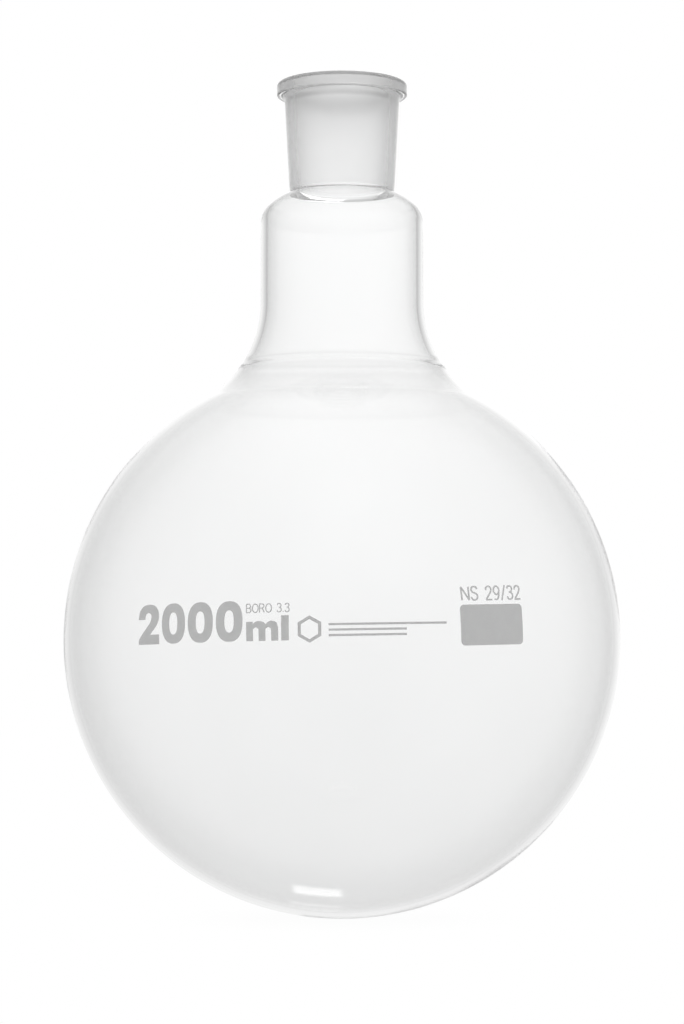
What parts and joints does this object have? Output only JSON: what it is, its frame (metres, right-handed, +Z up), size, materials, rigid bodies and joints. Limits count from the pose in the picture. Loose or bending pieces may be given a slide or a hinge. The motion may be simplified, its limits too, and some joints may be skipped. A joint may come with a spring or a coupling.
{
  "type": "round bottom flask",
  "caption": "Round bottom flask of clear borosilicate glass: spherical bulb, wide neck with domed shoulder, ground joint socket with rim, and fired enamel capacity print.",
  "frame": {"origin": "lowest point of the bulb, on the flask's axis", "axes": "+Z up along the neck; the printed side faces -Y, and the print reads left to right along +X"},
  "size_m": [0.166, 0.1661, 0.251],
  "materials": {
    "clear_glass": "clear, fire-polished borosilicate glass",
    "ground_glass": "glass whose inside cone and rim are finely ground and read as frosted",
    "fired_enamel": "fired screen-print enamel, satin"
  },
  "bodies": {
    "root": {"bulb": "clear_glass", "neck": "clear_glass", "joint_socket": "ground_glass", "capacity_mark": "fired_enamel", "glass_grade_mark": "fired_enamel", "joint_size_mark": "fired_enamel", "badge_mark": "fired_enamel", "rule_mark": "fired_enamel", "writing_field": "fired_enamel"}
  },
  "joints": []
}
